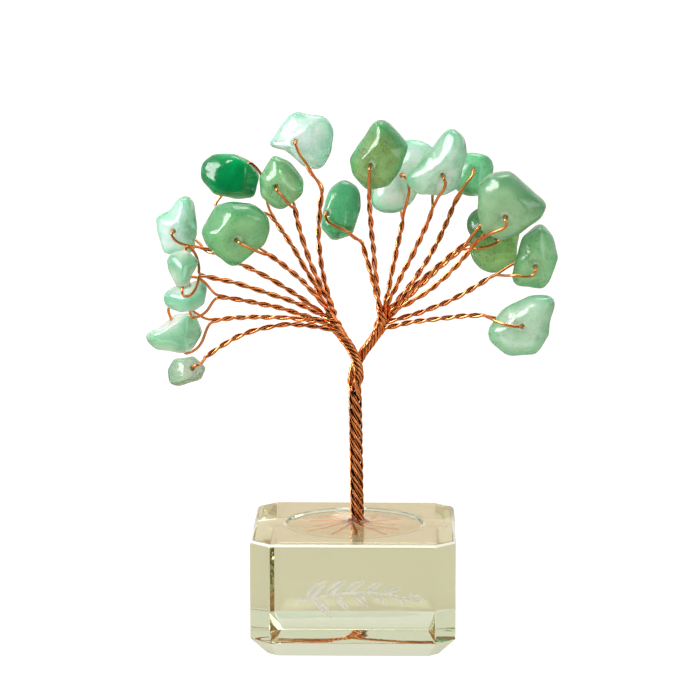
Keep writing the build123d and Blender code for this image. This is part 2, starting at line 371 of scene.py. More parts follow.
def through(points):
    fine = []
    for k in range(len(points) - 1):
        p, q = points[k], points[k + 1]
        before = points[k - 1] if k else p * 2 - q
        after = points[k + 2] if k + 2 < len(points) else q * 2 - p
        for i in range(60):
            t = i / 60
            bend = (before * 2 - p * 5 + q * 4 - after) * t ** 2 + (p * 3 - before - q * 3 + after) * t ** 3
            fine.append((p * 2 + (q - before) * t + bend) * 0.5)
    fine.append(points[-1])
    return even(fine, STEP)


def heading_at(line, k):
    return (line[min(k + 1, len(line) - 1)] - line[max(k - 1, 0)]).normalized()


def laid(line, along, radius, turn):
    k = min(max(int(along / STEP), 0), len(line) - 2)
    part = along / STEP - k
    ahead = heading_at(line, k).lerp(heading_at(line, k + 1), min(max(part, 0.0), 1.0)).normalized()
    centre = line[k] + (line[k + 1] - line[k]) * part
    side = (Vector((0, 1, 0)) - ahead * ahead.y).normalized()
    return centre + side * (radius * math.cos(turn)) + ahead.cross(side) * (radius * math.sin(turn))


def ring_radius(count, pitch):
    step = WIRE + LAY_GAP
    return step / (2 * math.sin(math.pi / count)) / math.sqrt(1 - (count * step / pitch) ** 2)


def wire_mesh(name, runs, thick):
    curve = bpy.data.curves.new(name, "CURVE")
    curve.dimensions = "3D"
    curve.bevel_depth = thick / 2 * MM
    curve.bevel_resolution = 3
    curve.use_fill_caps = True
    for run in runs:
        spline = curve.splines.new("POLY")
        spline.points.add(len(run) - 1)
        for point, place in zip(spline.points, run):
            point.co = (*(place * MM), 1.0)
    piece = bpy.data.objects.new(name, curve)
    bpy.context.scene.collection.objects.link(piece)
    only(piece)
    bpy.ops.object.convert(target="MESH")
    smooth(bpy.context.object, 50)
    return bpy.context.object


# Bare drawn copper: bright and warm, browned in patches by fingers and air.
# Painted shade darkens it to dark brown where the wires close on each other.
copper = bpy.data.materials.new("bare_copper_drawn")
copper.use_nodes = True
tree = copper.node_tree
where = add(tree, "ShaderNodeTexCoord", {})
patch = add(tree, "ShaderNodeTexNoise", {"Vector": where.outputs["Object"], "Scale": 1 / (2.5 * MM),
                                         "Detail": 5.0})
brown = add(tree, "ShaderNodeMapRange", {"Value": patch.outputs[0], 1: 0.42, 2: 0.7, 3: 0.0, 4: 0.75})
tone = add(tree, "ShaderNodeMix", {0: brown.outputs[0], 6: linear("#F4A066"), 7: linear("#CC6E38")},
           data_type="RGBA")
# Painted shade: ambient occlusion mixes in dark brown #440C00 where the wires close on each other
painted_shade_ao = add(tree, "ShaderNodeAmbientOcclusion", {"Distance": 1.2 * MM}, samples=8, only_local=True)
unshaded_share = add(tree, "ShaderNodeMapRange", {"Value": painted_shade_ao.outputs["AO"], 1: 0.52, 2: 0.9})
tone_with_painted_shade = add(tree, "ShaderNodeMix", {0: unshaded_share.outputs[0], 6: linear("#440C00"), 7: tone.outputs[2]},
           data_type="RGBA")
shine = add(tree, "ShaderNodeMapRange", {"Value": patch.outputs[0], 1: 0.3, 2: 0.7, 3: 0.1, 4: 0.2})
scuff = add(tree, "ShaderNodeTexNoise", {"Vector": where.outputs["Object"], "Scale": 1 / (0.3 * MM),
                                         "Detail": 2.0})
dull = add(tree, "ShaderNodeBump", {"Height": scuff.outputs[0], "Strength": 0.06, "Distance": 0.02 * MM})
shader = tree.nodes["Principled BSDF"]
tree.links.new(tone_with_painted_shade.outputs[2], shader.inputs["Base Color"])
tree.links.new(shine.outputs[0], shader.inputs["Roughness"])
tree.links.new(dull.outputs[0], shader.inputs["Normal"])
shader.inputs["Metallic"].default_value = 1.0
shader.inputs["Specular Tint"].default_value = linear("#FFD9C2")

# The line runs a hair past the fork, so that its last step is kept
trunk_line = even([TRUNK_FOOT, FORK + (FORK - TRUNK_FOOT) * 0.0004], STEP)
trunk_long = (FORK - TRUNK_FOOT).length
limb_lines = {side: through([FORK + Vector(p) for p in path]) for side, path in LIMBS.items()}


def trunk_wire(number, along):
    if number < OUTER:
        waver = 0.05 * noise.noise(Vector((number * 3.7, along * 0.25, 0)))
        radius = ring_radius(OUTER, TRUNK_PITCH) + PROUD[number] + waver
        phase = 2 * math.pi * number / OUTER + 0.10 * noise.noise(Vector((number * 5.3, along * 0.2, 9)))
        radius += FLARE * math.exp(-max(along, 0.0) / 0.9)
    else:
        radius = ring_radius(INNER, TRUNK_PITCH)
        phase = 2 * math.pi * (number - OUTER) / INNER
    return laid(trunk_line, along, radius, phase - 2 * math.pi * along / TRUNK_PITCH)


def limb_wire(side, number, along):
    if number == RING:
        return laid(limb_lines[side], along, 0.0, 0.0)
    seed = number + (20 if side == "left" else 40)
    waver = 0.09 * noise.noise(Vector((seed * 3.1, along * 0.3, 4)))
    phase = 2 * math.pi * number / RING + 0.14 * noise.noise(Vector((seed * 2.3, along * 0.25, 7)))
    radius = ring_radius(RING, LIMB_PITCH) + 0.03 + waver
    return laid(limb_lines[side], along, radius, phase - 2 * math.pi * along / LIMB_PITCH)


# Each trunk wire goes on into the limb wire that is nearest to it at the fork
middle = BLEND_FROM + BLEND_LONG / 2
free = [(side, k) for side in LIMBS for k in range(RING + 1)]
gaps = sorted(
    ((trunk_wire(i, trunk_long + middle) - limb_wire(side, k, middle + LIMB_DIP)).length, i, side, k)
    for i in range(OUTER + INNER) for side, k in free
)
follows = {}
for gap, i, side, k in gaps:
    if i not in follows and (side, k) in free:
        follows[i] = (side, k)
        free.remove((side, k))

random.seed(11)
trunk_runs = []
limb_runs = {"left": [], "right": []}
for i in range(OUTER + INNER):
    side, k = follows[i]
    lower = [trunk_wire(i, STEP * n) for n in range(int((trunk_long + BLEND_FROM) / STEP))]
    crossing = []
    for n in range(21):
        t = n / 20
        along = BLEND_FROM + BLEND_LONG * t
        share = t * t * (3 - 2 * t)
        upward = limb_wire(side, k, along + LIMB_DIP)
        crossing.append(trunk_wire(i, trunk_long + along).lerp(upward, share))
    top = (len(limb_lines[side]) - 1) * STEP - random.uniform(0.6, 2.6)
    reach = BLEND_FROM + BLEND_LONG + LIMB_DIP
    upper = [limb_wire(side, k, reach + STEP * n) for n in range(1, int((top - reach) / STEP))]
    trunk_runs.append(lower + crossing[:9])
    limb_runs[side].append(crossing[8:] + upper)
settle(wire_mesh("trunk_rope", trunk_runs, WIRE), "trunk_rope", copper, "tree", "copper", "trunk")
for side in LIMBS:
    name = "limb_rope_" + side
    settle(wire_mesh(name, limb_runs[side], WIRE), name, copper, "tree", "copper", "limb_" + side)

# Roots: the outer wires go on below the trunk, turn outward and splay across the dish inside the glue.
# Each is cut to its own length and lies just off the glass.
STOUT = 0.5
ROOT_REACH = 9.6
ROOT_STEP = 1.1
ROOT_CLEAR = 0.45
ROOT_KNEE = 1.1
ROOT_TURN = math.radians(35)


def curve_between(p, t, q, u, count):
    pull = (q - p).length * 1.08
    run = []
    for i in range(count):
        s = i / count
        a, b = 2 * s ** 3 - 3 * s ** 2 + 1, s ** 3 - 2 * s ** 2 + s
        c, d = 3 * s ** 2 - 2 * s ** 3, s ** 3 - s ** 2
        run.append(p * a + t * (b * pull) + q * c + u * (d * pull))
    return run


root_runs = []
for i in range(OUTER):
    first = trunk_wire(i, 0.0)
    down = (first - trunk_wire(i, STEP)).normalized()
    out = (first - TRUNK_FOOT).xy.normalized()
    out = Vector((out.x * math.cos(ROOT_TURN) - out.y * math.sin(ROOT_TURN),
                  out.x * math.sin(ROOT_TURN) + out.y * math.cos(ROOT_TURN), 0))
    tip = out * (ROOT_REACH - ROOT_STEP * (i % 3))
    tip.z = dish_floor(tip.length * MM) / MM + ROOT_CLEAR
    knee = first + out * ROOT_KNEE - Vector((0, 0, 0.35 * ROOT_KNEE))
    outward = (tip - knee).normalized()
    across = Vector((-outward.y, outward.x, 0))
    run = curve_between(first, down, knee, outward, 8)
    for n in range(int((tip - knee).length / STEP) + 1):
        t = n * STEP / (tip - knee).length
        sway = 0.35 * math.sin(math.pi * t) * noise.noise(Vector((i * 4.1, t * 2.0, 2)))
        run.append(knee.lerp(tip, t) + across * sway)
    root_runs.append(run)
settle(wire_mesh("root_wires", root_runs, STOUT), "root_wires", copper, "tree", "copper", "roots")

# Branch wires: each is one copper wire threaded through a stone and doubled, its halves twisted by hand.
# The twist runs down into the limb, winds into its lay and sinks between the limb's wires.
# Its open neck stands off the stone far enough for the stone to swivel.
PAIR_PITCH = 5.0
PAIR_SPACE = 0.95
PAIR_R = 0.235
BEND = 0.55
OVER = 0.85
LIFT = 0.45
CAP = math.radians(66)
SINK_LONG = 6.5
SINK_R = 0.3
EASE_PASSES = 14

# A row gives place across the limb, row in depth, distance below the limb's end, bearing and bow of the
# branch, bearing and lean of the hole seen from the twist's end, reach of the stone's edge, open neck,
# stone thickness, and the degrees by which the front leg turns aside as it leaves the hole.
BRANCHES = {
    "left": [
        (-1.0, 1, 1.5, 152, -1.0, 147, -12, 4.37, 1.0, 6.0, -47),
        (-1.0, -1, 1.5, 160, -0.7, 159, 37, 2.5, 1.0, 6.6, 0),
        (-0.5, -1, 3.6, 166, -0.6, 181, 0, 3.0, 2.3, 5.6, 0),
        (-0.5, 1, 3.6, 181, -0.9, 198, -15, 4.44, 3.0, 6.8, 0),
        (-0.5, -1, 4.8, 191, -3.0, 222, 21, 2.5, 1.0, 5.0, -30),
        (0.0, 1, 1.0, 121, -0.4, 141, -7, 5.34, 3.6, 7.6, 40),
        (0.0, -1, 1.0, 133, -0.7, 150, 20, 6.18, 1.0, 6.5, 0),
        (1.0, -1, 1.0, 109, 0.8, 124, 13, 4.6, 1.0, 6.0, 10),
        (1.0, 1, 1.0, 95, 1.3, 118, -7, 6.5, 3.5, 6.5, -18),
    ],
    "right": [
        (-1.0, 1, 1.0, 108, 0.0, 141, -16, 5.77, 2.2, 6.0, -48),
        (-1.0, -1, 1.0, 96, 0.1, 86, 9, 5.0, 2.0, 6.5, 0),
        (0.0, 1, 1.0, 79, 0.0, 93, -12, 6.46, 1.2, 6.0, 40),
        (0.0, -1, 1.0, 65, -0.1, 76, 9, 5.56, 4.0, 6.0, 36),
        (0.8, 1.9, 1.5, 58, -1.1, 59, -17, 4.0, 2.7, 5.5, 25),
        (0.8, -1.9, 1.5, 40, -1.3, 47, 12, 5.42, 3.8, 6.5, 65),
        (0.5, 1, 3.8, 43, 0.4, 18, -17, 4.92, 1.4, 5.5, 20),
        (0.5, -1, 3.4, 23, -1.0, 20, 0, 5.41, 3.0, 6.0, 60),
        (0.5, -1, 4.6, 9, 0.5, 347, 10, 6.0, 1.3, 6.0, 15),
        (1.0, 0, 1.4, 42, 0.3, 51, -4, 2.67, 1.3, 5.0, 0),
    ],
}
swivels = {joint["child"]: joint for joint in frame["joints"]}


def heading(bearing, lean):
    b, n = math.radians(bearing), math.radians(lean)
    return Vector((math.cos(b) * math.cos(n), -math.sin(n), math.sin(b) * math.cos(n)))


def twist_line(side, row, end):
    col, depth, below, bearing, bow = row[:5]
    limb = limb_lines[side]
    long = (len(limb) - 1) * STEP
    turn = math.atan2(-col * PAIR_SPACE, depth * PAIR_SPACE / 2)
    far = math.hypot(col * PAIR_SPACE, depth * PAIR_SPACE / 2)
    start = laid(limb, long - below, far, turn)
    knee = (start + end) / 2 + heading(bearing + 90, 0) * (2 * bow)
    fine = []
    for k in range(101):
        t = k / 100
        fine.append(end * (1 - t) ** 2 + knee * (2 * t * (1 - t)) + start * t ** 2)
    for k in range(1, 40):
        sunk = SINK_LONG * k / 39
        share = k / 39
        radius = far + (SINK_R - far) * share * share * (3 - 2 * share)
        fine.append(laid(limb, long - below - sunk, radius, turn + 2 * math.pi * sunk / LIMB_PITCH))
    line = even(fine, STEP)
    for n in range(EASE_PASSES):
        line = [line[0]] + [(a + b * 2 + c) / 4 for a, b, c in zip(line, line[1:], line[2:])] + [line[-1]]
    return line


def twisted(line, bore, seed):
    normal = bore
    turn = 0.0
    halves = ([], [])
    for k, centre in enumerate(line):
        ahead = heading_at(line, k)
        normal = (normal - ahead * normal.dot(ahead)).normalized()
        fade = min(1.0, k * STEP / 4.0)
        sway = noise.noise_vector(centre / 3.0 + Vector((seed * 7.1, 0, 0))) * (0.13 * fade)
        loose = PAIR_R + 0.02 * fade * (0.5 + noise.noise(Vector((seed * 2.9, k * STEP * 0.5, 1))))
        spread = normal * math.cos(turn) + ahead.cross(normal) * math.sin(turn)
        halves[0].append(centre + sway + spread * loose)
        halves[1].append(centre + sway - spread * loose)
        uneven = 1 + 0.25 * noise.noise(Vector((seed * 1.7, k * STEP * 0.2, 5)))
        turn -= 2 * math.pi * STEP / PAIR_PITCH * uneven
    return halves


# The sway of each twist is drawn from a fixed seed, so every run bends the wires alike
noise.seed_set(11)
for side, rows in BRANCHES.items():
    for number, row in enumerate(rows, 1):
        turn, tilt, edge, neck, thick, hook = row[5:]
        tag = side + "_" + str(number)
        swivel = swivels["stone_" + tag]
        hole = Vector(swivel["pos_m"]) / MM
        bore = Vector(swivel["axis"]).normalized()
        away = heading(turn, tilt)
        toward = -away
        end = hole + toward * (edge + neck)
        up, down = twisted(twist_line(side, row, end), bore, number + (0 if side == "left" else 12))
        wide = edge + OVER
        tall = thick / 2 / math.sin(CAP) + OVER
        touch = wide ** 2 / (edge + neck)
        rest = tall * math.sqrt(1 - (touch / wide) ** 2)
        leg = (toward * (edge + neck - touch) - bore * rest).normalized()
        leg_back = (toward * (edge + neck - touch) + bore * rest).normalized()
        front = 1 if bore.y < 0 else -1
        bent = Matrix.Rotation(math.radians(-hook if bore.y > 0 else hook), 3, bore) @ toward
        over = bent if front > 0 else toward
        under = toward if front > 0 else bent
        stops = [
            (up[0], (up[0] - up[1]).normalized()),
            (hole + toward * touch + bore * rest, -leg),
            (hole + over * BEND + bore * (thick / 2 + BEND + LIFT), -over),
            (hole + bore * (thick / 2), -bore),
            (hole - bore * (thick / 2), -bore),
            (hole + under * BEND - bore * (thick / 2 + BEND + LIFT), under),
            (hole + toward * touch - bore * rest, leg_back),
            (down[0], (down[1] - down[0]).normalized()),
        ]
        run = up[:0:-1]
        for (p, t), (q, u) in zip(stops, stops[1:]):
            run += curve_between(p, t, q, u, max(8, int((q - p).length / STEP)))
        run += down
        name = "branch_wire_" + tag
        settle(wire_mesh(name, [run], STOUT), name, copper, "tree", "copper", "wire_" + tag)

# Stones: chips of green aventurine, drilled through and tumbled until every edge is round and glassy.
# Each hangs on its own branch wire and can swivel on it a little.
VOXEL = 0.22 * MM
SECTORS = 72
VIEWPOINT = Vector((10.96, -570.91, 146.71))
VIEWED = Vector((-0.78, 0.94, 50.3))
SIGHT = (VIEWED - VIEWPOINT).normalized()
VIEW_UP = (Vector((0, 0, 1)) - SIGHT * SIGHT.z).normalized()
VIEW_RIGHT = SIGHT.cross(VIEW_UP)

# Dusting is how strongly the dark mica shows in each tint.
# A row gives tint, colours of core, shade, painted rim shade and mica, squareness of the edge, corners and
# cuts.
# Corners are millimetres right of and above the hole, seen from the viewpoint. None keeps the solid's own.
# Cuts are worn flats: bearing and lean of the way they face, then how deep they go below the furthest point.
DUSTING = {"pale": 0.4, "mid": 0.55, "olive": 0.95, "dark": 0.3}
STONES = {
    "left_1": ("pale", "#DAF3F0", "#BEF2DB", "#83DBAF", "#72A18A", 3.0,
               [(-3.8, 2.4), (-1.1, 3.9), (0.7, 6.0), (1.9, 6.3), (2.9, 5.5), (3.6, 0.4), (3.1, -3.2),
                (2.4, -3.9), (-2.1, -4.1), (-3.1, -1.4)],
               [(8, 45, 0.8), (140, 50, 0.9)]),
    "left_2": ("pale", "#EDF3E9", "#BDE4C8", "#80C6A0", "#779882", 2.4,
               [(-2.9, 2.1), (-1.8, 3.2), (0.3, 3.6), (2.9, 1.8), (1.4, -0.9), (0.8, -3.0), (-0.9, -3.2),
                (-2.6, 0.2)],
               [(165, 50, 0.9), (20, 52, 1.0), (100, 45, 0.7)]),
    "left_3": ("pale", "#F3F3F3", "#D1F2DD", "#86D8B7", "#95AA99", 2.6,
               [(-4.6, 0.0), (-4.1, -1.6), (-1.9, -2.7), (0.9, -2.4), (2.6, -1.1), (3.1, 1.8), (2.0, 3.0),
                (-2.9, 1.9), (-3.7, 1.3)],
               [(110, 48, 0.9), (200, 55, 0.6)]),
    "left_4": ("pale", "#F3F3F3", "#DCF3DF", "#8AD4AE", "#779179", 2.8,
               [(-5.2, -0.3), (-3.2, 0.5), (-0.1, 3.0), (3.4, 3.3), (4.7, -0.2), (3.0, -3.3), (1.1, -4.0),
                (-3.5, -3.2), (-5.2, -1.7)],
               [(118, 45, 1.0), (90, 78, 0.7), (10, 45, 0.7)]),
    "left_5": ("pale", "#CEDAC8", "#A8C6AB", "#7FAA8C", "#659176", 2.8,
               [(-4.2, 0.2), (-3.1, 2.0), (0.3, 2.6), (2.5, 0.5), (1.6, -1.5), (-2.3, -2.9), (-3.9, -2.2)],
               [(150, 50, 0.8), (60, 55, 0.6)]),
    "left_6": ("dark", "#02C977", "#02A05B", "#03884E", "#1C6B3B", 2.8,
               [(-5.3, 3.4), (-3.3, 4.9), (0.8, 5.2), (3.6, 3.6), (5.0, 1.3), (3.8, -2.5), (0.3, -2.8),
                (-3.3, -2.0), (-5.3, 0.6)],
               [(90, 76, 1.1), (20, 40, 1.0), (125, 52, 0.5)]),
    "left_7": ("mid", "#9DD69F", "#7EC28A", "#54AD71", "#457951", 3.4,
               [(-5.3, 0.7), (-2.7, 5.2), (0.3, 5.9), (3.7, 5.5), (6.2, 3.2), (6.7, 1.0), (5.7, -1.7),
                (1.0, -5.1), (-0.5, -5.2), (-4.4, -1.7)],
               [(135, 48, 0.9), (300, 50, 0.7)]),
    "left_8": ("mid", "#AADDAA", "#85C58F", "#60B075", "#447C54", 2.6,
               [(-0.6, 4.4), (2.2, 3.5), (4.6, 0.9), (4.7, -2.4), (1.2, -4.8), (-0.3, -4.7), (-2.8, -2.6),
                (-2.9, 0.9)],
               [(130, 55, 0.8), (30, 50, 0.7)]),
    "left_9": ("pale", "#ECF3F3", "#CBF0E3", "#8DDFBC", "#8FB7A5", 3.0,
               [(-2.4, 3.0), (-0.8, 5.1), (0.5, 5.5), (2.0, 5.0), (5.3, 4.6), (6.9, 1.8), (6.2, -2.3),
                (4.1, -5.1), (1.9, -4.8), (-1.5, -1.5), (-4.7, -0.8)],
               [(122, 54, 1.3), (20, 55, 0.6)]),
    "right_1": ("mid", "#7DDFAA", "#58BE8A", "#45AC76", "#377151", 2.8,
                [(-1.0, 1.3), (0.1, 5.1), (2.8, 6.9), (5.1, 5.1), (6.0, 1.3), (4.0, -3.4), (0.7, -4.5),
                 (-1.5, -2.5)],
                [(150, 54, 0.7), (15, 50, 0.8)]),
    "right_2": ("olive", "#97C27F", "#82AA65", "#43B478", "#736854", 3.2,
                [(-3.9, 0.3), (-2.1, 3.6), (0.0, 6.5), (1.3, 7.1), (2.7, 6.8), (6.4, 2.7), (5.3, -1.2),
                 (2.7, -4.4), (-0.9, -5.0), (-3.4, -2.4)],
                [(146, 50, 1.2), (40, 50, 0.8)]),
    "right_3": ("pale", "#EFF3F3", "#CDF3E2", "#8EE2B9", "#8FC3A8", 2.8, [],
                [(125, 52, 0.9), (300, 50, 0.8)]),
    "right_4": ("pale", "#D7EEE3", "#BBDECA", "#78C79B", "#739A87", 3.0,
                [(-6.1, -0.9), (-2.2, 3.6), (0.2, 6.3), (1.9, 7.4), (4.0, 5.8), (4.5, 2.4), (3.1, -3.0),
                 (0.2, -4.4), (-3.7, -4.1), (-5.9, -2.4)],
                [(131, 54, 1.2), (350, 50, 0.6)]),
    "right_5": ("mid", "#91E3B1", "#6FC893", "#4EB57E", "#3F7657", 2.8, [],
                [(125, 50, 0.7), (20, 45, 0.7)]),
    "right_6": ("pale", "#A8CFA9", "#8CBC92", "#67AA7B", "#517459", 3.4,
                [(-5.3, 0.4), (-5.3, 4.6), (-3.1, 6.5), (0.4, 7.1), (6.9, 1.3), (5.6, -1.3), (1.9, -4.0),
                 (-1.3, -4.9), (-4.3, -3.4)],
                [(60, 52, 0.7), (15, 60, 0.6), (150, 50, 0.6)]),
    "right_7": ("olive", "#B2E49A", "#90C67B", "#6EB171", "#616F44", 2.8, [],
                [(130, 50, 0.7), (300, 50, 0.6)]),
    "right_8": ("mid", "#ABE0AD", "#89C997", "#5DAF77", "#496646", 3.2,
                [(-2.2, 4.6), (1.3, 7.0), (3.4, 4.6), (4.2, 0.7), (3.1, -2.5), (1.6, -4.6), (-2.8, -4.3),
                 (-4.2, -2.5), (-3.4, 0.4)],
                [(20, 50, 0.8), (140, 55, 0.6)]),
    "right_9": ("pale", "#CCE7D3", "#B0D5BC", "#66BB8C", "#598267", 3.2,
                [(-6.2, -0.6), (-4.1, 2.8), (1.2, 5.5), (4.7, 5.5), (5.4, 4.0), (4.4, -1.8), (2.1, -5.0),
                 (-2.7, -5.2), (-5.9, -2.7)],
                [(128, 44, 0.7), (350, 45, 0.6)]),
    "right_10": ("mid", "#85C692", "#65A775", "#4A9361", "#375F43", 2.6, [],
                 [(150, 55, 0.7), (100, 45, 0.7)]),
}


# Green aventurine: cloudy and translucent, with painted shade at the rim, dusted with fine dark mica.
# Tumbling leaves a glassy polish over a skin that is never quite flat.
def aventurine(name, core, shade, rim, fleck, dusting, seed):
    made = bpy.data.materials.new(name)
    made.use_nodes = True
    tree = made.node_tree
    where = add(tree, "ShaderNodeTexCoord", {})
    spot = add(tree, "ShaderNodeMapping", {"Vector": where.outputs["Object"],
                                           "Location": (seed * 0.031, seed * 0.017, 0)})
    cloud = add(tree, "ShaderNodeTexNoise", {"Vector": spot.outputs[0], "Scale": 1 / (4.5 * MM),
                                             "Detail": 6.0, "Roughness": 0.6, "Distortion": 0.8})
    depth = add(tree, "ShaderNodeMapRange", {"Value": cloud.outputs[0], 1: 0.35, 2: 0.66})
    body = add(tree, "ShaderNodeMix", {0: depth.outputs[0], 6: linear(core), 7: linear(shade)},
               data_type="RGBA")
    edge = add(tree, "ShaderNodeAttribute", {}, attribute_name="rim")
    # Painted shade: towards the edge the colour turns to the darker rim green, for the edge shading of the
    # stone
    painted_rim_mask = add(tree, "ShaderNodeMapRange", {"Value": edge.outputs["Fac"],
                                                1: 0.62, 2: 1.0, 3: 0.0, 4: 0.95})
    rim_shaded = add(tree, "ShaderNodeMix", {0: painted_rim_mask.outputs[0], 6: body.outputs[2], 7: linear(rim)},
                 data_type="RGBA")
    grain = add(tree, "ShaderNodeTexNoise", {"Vector": spot.outputs[0], "Scale": 1 / (0.34 * MM),
                                             "Detail": 4.0, "Roughness": 0.7})
    drift = add(tree, "ShaderNodeMath", {0: cloud.outputs[0], 1: 0.35, 2: grain.outputs[0]},
                operation="MULTIPLY_ADD")
    specks = add(tree, "ShaderNodeMapRange", {"Value": drift.outputs[0],
                                              1: 0.71, 2: 0.86, 3: 0.0, 4: dusting})
    flecked = add(tree, "ShaderNodeMix", {0: specks.outputs[0], 6: rim_shaded.outputs[2], 7: linear(fleck)},
                  data_type="RGBA")
    # Painted highlight: a pale ring #DCE9DD round the mouth of the hole
    hole_highlight_mask = add(tree, "ShaderNodeMapRange", {"Value": edge.outputs["Fac"], 1: 0.1, 2: 0.17, 3: 0.7, 4: 0.0})
    hole_highlighted = add(tree, "ShaderNodeMix", {0: hole_highlight_mask.outputs[0], 6: flecked.outputs[2],
                                          7: linear("#DCE9DD")}, data_type="RGBA")
    gloss = add(tree, "ShaderNodeMapRange", {"Value": grain.outputs[0], 1: 0.3, 2: 0.7, 3: 0.06, 4: 0.2})
    waves = add(tree, "ShaderNodeTexNoise", {"Vector": spot.outputs[0], "Scale": 1 / (1.3 * MM),
                                             "Detail": 4.0})
    skin = add(tree, "ShaderNodeBump", {"Height": waves.outputs[0], "Strength": 0.42,
                                        "Distance": 0.14 * MM})
    shader = tree.nodes["Principled BSDF"]
    tree.links.new(hole_highlighted.outputs[2], shader.inputs["Base Color"])
    tree.links.new(gloss.outputs[0], shader.inputs["Roughness"])
    tree.links.new(skin.outputs[0], shader.inputs["Normal"])
    shader.inputs["IOR"].default_value = 1.54
    shader.inputs["Transmission Weight"].default_value = 0.55
    shader.inputs["Subsurface Weight"].default_value = 1.0
    shader.inputs["Subsurface Radius"].default_value = (1.0, 1.6, 1.2)
    shader.inputs["Subsurface Scale"].default_value = 2.2 * MM
    return made


def sector_of(x, y):
    return int((math.atan2(y, x) / (2 * math.pi) % 1.0) * SECTORS) % SECTORS


def reaches(spots):
    far = [0.0] * SECTORS
    for x, y in spots:
        k = sector_of(x, y)
        far[k] = max(far[k], math.hypot(x, y))
    return [max(far[k - 1], far[k], far[(k + 1) % SECTORS]) for k in range(SECTORS)]


def corner_reach(corners, bearing):
    ray = Vector((math.cos(bearing), math.sin(bearing)))
    best = 0.0
    for k, (x, y) in enumerate(corners):
        side = Vector(corners[k - 1]) - Vector((x, y))
        cross = ray.x * side.y - ray.y * side.x
        if abs(cross) > 1e-9:
            t = (x * side.y - y * side.x) / cross
            u = (x * ray.y - y * ray.x) / cross
            if t > 0 and 0 <= u <= 1:
                best = max(best, t)
    return best


def eased(x, low, high):
    t = min(max((x - low) / (high - low), 0.0), 1.0)
    return t * t * (3 - 2 * t)


def squared_off(arms, bore, flat):
    up = (Vector((0, 0, 1)) - bore * bore.z).normalized()
    across = up.cross(bore)
    far = reaches([(arm.dot(across), arm.dot(up)) for arm in arms])
    for arm in arms:
        x, y = arm.dot(across), arm.dot(up)
        t = min(math.hypot(x, y) / far[sector_of(x, y)], 0.98)
        swell = (1 - t ** flat) ** (1 / flat) / math.sqrt(1 - t * t)
        arm += bore * (arm.dot(bore) * (swell - 1))


def drawn_to(arms, corners):
    far = reaches([(arm.dot(VIEW_RIGHT), arm.dot(VIEW_UP)) for arm in arms])
    goal = [corner_reach(corners, 2 * math.pi * (k + 0.5) / SECTORS) for k in range(SECTORS)]
    ratio = [(g or f) / f for g, f in zip(goal, far)]
    for n in range(2):
        ratio = [(ratio[k - 1] + ratio[k] * 2 + ratio[(k + 1) % SECTORS]) / 4 for k in range(SECTORS)]
    for arm in arms:
        x, y = arm.dot(VIEW_RIGHT), arm.dot(VIEW_UP)
        place = math.atan2(y, x) / (2 * math.pi) % 1.0 * SECTORS - 0.5
        k = math.floor(place)
        grow = ratio[k % SECTORS] * (1 - place + k) + ratio[(k + 1) % SECTORS] * (place - k)
        share = eased(math.hypot(x, y) / far[sector_of(x, y)], 0.15, 0.7)
        arm += (VIEW_RIGHT * x + VIEW_UP * y) * ((grow - 1) * share)


def worn_flat(arms, cuts):
    soft = 0.3
    for bearing, lean, deep in cuts:
        facing = heading(bearing, lean)
        level = max(arm.dot(facing) for arm in arms) - deep
        for arm in arms:
            past = arm.dot(facing) - level
            if past > -8 * soft:
                arm += facing * (-soft * math.log1p(math.exp(-past / soft)) - past)


for number, (tag, row) in enumerate(STONES.items(), 1):
    tint, core, shade, rim, fleck, flat, corners, cuts = row
    node = frame["nodes"]["stone_" + tag]
    stone = node.copy()
    stone.data = node.data.copy()
    stone.animation_data_clear()
    stone.parent = None
    for key in list(stone.keys()):
        del stone[key]
    bpy.context.scene.collection.objects.link(stone)
    only(stone)
    bpy.ops.object.mode_set(mode="EDIT")
    bpy.ops.mesh.select_all(action="SELECT")
    bpy.ops.mesh.remove_doubles(threshold=0.001 * MM)
    bpy.ops.object.mode_set(mode="OBJECT")
    apply_modifier(stone, "REMESH", mode="VOXEL", voxel_size=VOXEL)
    apply_modifier(stone, "SMOOTH", factor=0.5, iterations=4)
    swivel = swivels["stone_" + tag]
    hole = Vector(swivel["pos_m"]) / MM
    bore = Vector(swivel["axis"]).normalized()
    arms = [vertex.co / MM - hole for vertex in stone.data.vertices]
    squared_off(arms, bore, flat)
    worn_flat(arms, cuts)
    if corners:
        drawn_to(arms, corners)
    up = (Vector((0, 0, 1)) - bore * bore.z).normalized()
    across = up.cross(bore)
    flat_spots = [(arm.dot(across), arm.dot(up)) for arm in arms]
    far = reaches(flat_spots)
    # The rim attribute is each point's share of the way out to the edge; it places the painted rim shade and
    # hole highlight
    near_edge = stone.data.attributes.new("rim", "FLOAT", "POINT")
    for value, (x, y) in zip(near_edge.data, flat_spots):
        value.value = math.hypot(x, y) / far[sector_of(x, y)]
    for vertex, arm in zip(stone.data.vertices, arms):
        uneven = noise.noise(arm / 2.2 + Vector((number * 5.0, 0, 0))) * 0.07
        vertex.co = (hole + arm + arm.normalized() * uneven * eased(arm.length, 1.0, 2.0)) * MM
    apply_modifier(stone, "SMOOTH", factor=0.5, iterations=3)
    smooth(stone, 180)
    skin = aventurine("aventurine_" + tint + "_" + tag, core, shade, rim, fleck, DUSTING[tint], number)
    settle(stone, "tumbled_stone_" + tag, skin, "stone_" + tag, "stone_" + tint, "stone_" + tag)

